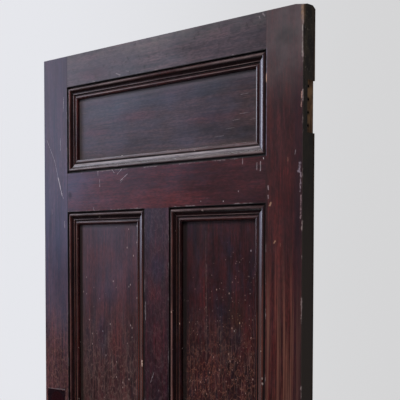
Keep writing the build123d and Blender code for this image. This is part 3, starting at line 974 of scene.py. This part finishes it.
# the two quirks, painted black as shade
outer = soft_step(given["Distance"], QUIRK_WIDTH + QUIRK_SOFT, QUIRK_WIDTH)
inner = soft_step(apart(given["Distance"], INNER_QUIRK_AT), QUIRK_SOFT, 0.0008)
feed(result["Dirt"], calc("MAXIMUM", outer, inner))
# the crests, lightened for rub and painted highlight
crests = [soft_step(apart(given["Distance"], crest), half_width, half_width * 0.3)
          for crest, half_width in ((ROUND_AT, ROUND_HALF), (FILLET_AT, FILLET_HALF), (BEAD_AT, BEAD_HALF))]
feed(result["Rubbed"], calc("MAXIMUM", calc("MAXIMUM", crests[0], crests[1]), crests[2]))
feed(result["Hollow"], soft_step(apart(given["Distance"], HOLLOW_AT), 0.005, 0.003))
print("group", nodes_made())

# %% [markdown]
# ## A finish for each side
#
# The four sides of a panel have aged differently and catch the light differently, and part of that
# light and shade is painted into their colours, so each side of each panel has a finish of its own,
# twenty in all, shared by front and back. Its grain runs along the length. The top and the left are
# dull, the bottom and the right polished. Dust lies on the bottom one as on a sill, most of it on the
# fillet, and the slope of the right one carries a painted sheen, lavender high up and brown lower
# down. A dark hairline marks the mitres.

# %% Mouldings
MOULDING_SIDES = {"top": (ALONG_X, VARNISH_IOR), "bottom": (ALONG_X, POLISH_IOR),
                  "left": (UPRIGHT, VARNISH_IOR), "right": (UPRIGHT, POLISH_IOR)}
SILL_DUST = ((0.0045, 0.0), (0.0062, 0.05), (0.0084, 0.26), (0.0105, 0.16), (0.013, 0.14), (0.0175, 0.26),
             (0.0198, 0.7), (0.021, 1.0), (0.0232, 1.0), (0.0236, 0.0), (0.0268, 0.0), (0.029, 0.32),
             (0.0315, 0.22), (0.035, 0.05))
SILL_GREY = tint(206, 194, 201)
HIGH_UP, PAST_ROUND, SLOPE = (1.34, 1.6), (0.0125, 0.014), (0.0145, 0.0225)
LEFT_RUB_AND_HIGHLIGHT = {"upper_right": (tint(142, 102, 96), tint(92, 66, 56))}
MOULDING_CHIPS = {("upper_left", "right"): ((-0.055, 1.23, 0.009, 0.013, 1.0, 0.0005),),
                  ("upper_right", "left"): ((0.0742, 1.3415, 0.003, 0.005, 0.6, 0.007),
                                            (0.052, 1.37, 0.003, 0.004, 0.5, 0.0005)),
                  ("upper_right", "right"): ((0.333, 1.293, 0.002, 0.005, 0.85, 0.0035),)}

for number, panel in enumerate(OPENINGS):
    for side, (grain_turn, ior) in MOULDING_SIDES.items():
        finish = start_finish(f"{panel}_{side}_moulding_varnish", grain_turn, 14.0 + number, bloom=0.0,
                              Crazing=0.0, Flaking=0.04, Dark=tint(24, 9, 10), Red=tint(50, 20, 18),
                              Dullness=0.2)
        rim = rim_of(finish, panel)
        tone = use("moulding_tone", Distance=rim["Distance"])
        patchy = spread(noise(finish.grain, 40.0, 4.0, 0.65, 0.2), 0.36, 0.64, 0.15, 1.0)
        high_up = soft_step(finish.xyz[2], *HIGH_UP)
        # painted shade: the hollow darkened
        lay(finish, tone["Hollow"], tint(14, 5, 5), 0.75)
        if side == "top":
            rub_and_highlight_tint = tint(124, 108, 108)
        elif side == "bottom":
            wiped = product(spread(noise(finish.grain, 420.0, 3.0, 0.6, 0.05), 0.36, 0.62, 0.5, 1.1),
                            spread(patchy, 0.15, 1.0, 0.75, 1.0))
            middle = spread(within(finish.xyz[0], -0.25, 0.2, 0.07), 0.0, 1.0, 0.8, 1.0)
            lay(finish, product(ramp(rim["Distance"], SILL_DUST), wiped, middle), SILL_GREY, 0.8, 0.5)
            rub_and_highlight_tint = tint(116, 100, 100)
        elif side == "left":
            shades = LEFT_RUB_AND_HIGHLIGHT.get(panel, (tint(118, 80, 76), tint(122, 90, 80)))
            rub_and_highlight_tint = mixed(soft_step(rim["Distance"], *PAST_ROUND), *shades)
        else:
            # painted sheen on the slope of the right members: lavender high up, brown lower down
            painted_sheen_slope = within(rim["Distance"], *SLOPE, 0.0015)
            lay(finish, painted_sheen_slope, mixed(high_up, tint(124, 88, 84), tint(156, 154, 180)), 0.36)
            # the right members' crests painted dark as shade high up, red-brown lower down
            rub_and_highlight_tint = mixed(high_up, tint(118, 66, 54), tint(50, 36, 46))
        # the crests' rub, partly wear and partly painted highlight
        lay(finish, product(tone["Rubbed"], patchy), rub_and_highlight_tint, 0.6)
        # painted shade: both quirks nearly black
        lay(finish, tone["Dirt"], tint(8, 4, 4), 0.94, 0.75)
        lay(finish, rim["Mitre"], JOINT_SHADOW, 0.6, JOINT_ROUGHNESS)
        for across, up, length, width, share, depth in MOULDING_CHIPS.get((panel, side), ()):
            scratches(finish, ((across, up, across, up + length, width, share),), tint(214, 176, 158), 0.0,
                      FRONT_Y + depth)
        put_on(finish, [f"{face}_{panel}_moulding_{side}" for face in ("front", "back")], ior)

# %% [markdown]
# ## Light, floor and background
#
# One soft lamp high in front of the door does most of the work. Two wide, weak windows of light at
# the lock side give the varnish its blue sheen, a skylight behind them and higher up lights the tops
# of the mouldings, and a lamp behind keeps the far face from going black. The pale background is only
# what the camera sees, and what the varnish mirrors of the far left: it isn't used to light the door.
# The floor is a small disc that fades out before it reaches any horizon, and is too small to throw
# grey light up into the hollows.

# %% World
PALE_LEFT, PALE_RIGHT = tint(230, 231, 236), tint(213, 213, 214)
AMBIENT, ROOM_SEEN = (0.3, 0.305, 0.32, 1.0), (0.04, 0.04, 0.045, 1.0)
FAR_LEFT = (-0.7, 0.71, 0.0)

world = bpy.data.worlds.new("pale_room")
bpy.context.scene.world = world
world.use_nodes = True
start_tree(world.node_tree)
heading = place("TexCoord").outputs["Generated"]
towards_left = vector_calc("DOT_PRODUCT", heading, (-level_right.x, -level_right.y, 0.0), output="Value")
towards_far_left = vector_calc("DOT_PRODUCT", heading, FAR_LEFT, output="Value")
rays = place("LightPath").outputs
mirrored = product(calc("MAXIMUM", rays["Is Glossy Ray"], rays["Is Transmission Ray"]),
                   soft_step(towards_far_left, 0.45, 0.8), soft_step(parts_of(heading)[2], -0.35, -0.05))
shown = calc("MAXIMUM", rays["Is Camera Ray"], mirrored)
pale = mixed(soft_step(towards_left, -0.22, 0.2), PALE_RIGHT, PALE_LEFT)
room = mixed(rays["Is Glossy Ray"], AMBIENT, ROOM_SEEN)
background = place("Background")
feed_all(background, Color=mixed(shown, room, pale))
feed_all(place("OutputWorld"), Surface=background.outputs[0])
print("world has", len(bench.tree.nodes), "nodes")

# %% Lamps
def soft_lamp(name, at, towards, wide, high, watts, colour):
    """A rectangular lamp of that size at a point, turned to face another, unseen by the camera itself."""
    data = bpy.data.lights.new(name, "AREA")
    data.shape, data.size, data.size_y = "RECTANGLE", wide, high
    data.energy, data.color = watts, colour
    lamp = bpy.data.objects.new(name, data)
    lamp.location = at
    lamp.rotation_mode = "QUATERNION"
    lamp.rotation_quaternion = (Vector(towards) - Vector(at)).to_track_quat("-Z", "Y")
    lamp.visible_camera = False
    bpy.context.scene.collection.objects.link(lamp)


soft_lamp("key_lamp", (0.3, -2.6, 5.0), (0.0, 0.0, 1.1), 1.6, 1.6, 175.0, (1.0, 0.985, 0.965))
soft_lamp("window_lamp", (-3.75, -1.75, 3.4), (0.0, 0.0, 1.6), 2.4, 2.0, 26.0, (0.79, 0.84, 1.0))
soft_lamp("skylight", (-2.2, 0.75, 4.4), (0.0, 0.0, 1.4), 2.0, 1.4, 90.0, (0.95, 0.97, 1.0))
soft_lamp("side_window", (-3.7, -0.65, 2.45), (0.0, 0.0, 1.8), 3.0, 1.6, 46.0, (0.8, 0.82, 1.0))
soft_lamp("back_lamp", (-2.2, 3.6, 2.6), (0.0, 0.0, 1.1), 2.0, 2.0, 90.0, (1.0, 1.0, 1.0))
print("lamps", len(bpy.data.lights))

# %% Floor
FLOOR_RADIUS, FLOOR_FADE, FLOOR_SIDES = 1.6, 0.5, 96
angles = np.linspace(0.0, 2.0 * np.pi, FLOOR_SIDES, endpoint=False)
rim_points = np.stack([np.cos(angles), np.sin(angles), np.zeros_like(angles)], axis=1) * FLOOR_RADIUS
floor_mesh = bpy.data.meshes.new("floor")
floor_mesh.from_pydata(rim_points.tolist(), [], [list(range(FLOOR_SIDES))])
floor = bpy.data.objects.new("floor", floor_mesh)
bpy.context.scene.collection.objects.link(floor)

material = bpy.data.materials.new("pale_floor")
material.use_nodes = True
start_tree(material.node_tree)
radius = vector_calc("LENGTH", place("TexCoord").outputs["Object"], output="Value")
paint = place("BsdfDiffuse")
feed_all(paint, Color=tint(222, 222, 224))
blend = place("MixShader")
for socket, value in zip(blend.inputs, (soft_step(radius, FLOOR_RADIUS - 0.1, FLOOR_FADE),
                                        place("BsdfTransparent").outputs[0], paint.outputs[0])):
    feed(socket, value)
feed_all(place("OutputMaterial"), Surface=blend.outputs[0])
floor_mesh.materials.append(material)
print("floor radius", FLOOR_RADIUS)

# %% Colour management
bpy.context.scene.view_settings.view_transform = "Standard"
